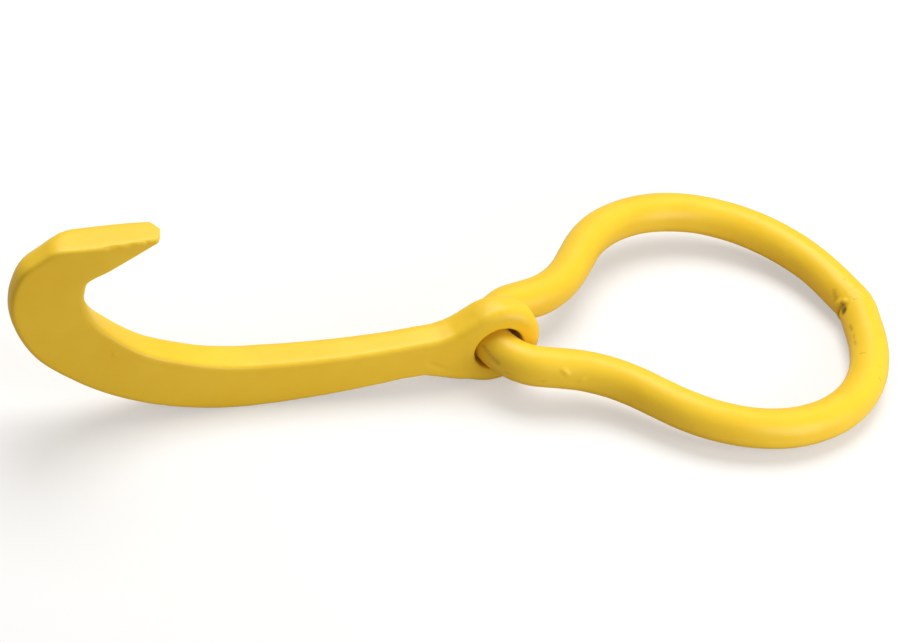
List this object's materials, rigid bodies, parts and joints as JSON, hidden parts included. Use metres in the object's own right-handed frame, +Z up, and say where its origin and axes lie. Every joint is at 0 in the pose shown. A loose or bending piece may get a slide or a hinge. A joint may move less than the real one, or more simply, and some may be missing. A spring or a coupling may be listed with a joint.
{
  "type": "cant hook",
  "caption": "Forged log-turning hook with a flat-topped claw, its eye linked to a pear-shaped ring of welded round bar that slips over a lever pole.",
  "frame": {"origin": "on the ground, under the middle of the whole part as it lies in the picture", "axes": "+X from the hook to the ring, +Z up, the hook upright in the XZ plane with its claw on top"},
  "size_m": [0.3859, 0.143, 0.0864],
  "materials": {
    "hook_paint": "satin yellow paint over forged steel",
    "ring_paint": "satin yellow paint over round steel bar",
    "weld_paint": "satin yellow paint over a rough weld bead"
  },
  "bodies": {
    "hook": {"hook": "hook_paint"},
    "ring": {"ring_bar": "ring_paint", "ring_weld": "weld_paint"}
  },
  "joints": [
    {"name": "ring_swing", "type": "hinge", "parent": "hook", "child": "ring", "pos_m": [0.01401, -0.00422, 0.01848], "axis": [0, -1, 0], "range_deg": [-173, 156]}
  ]
}
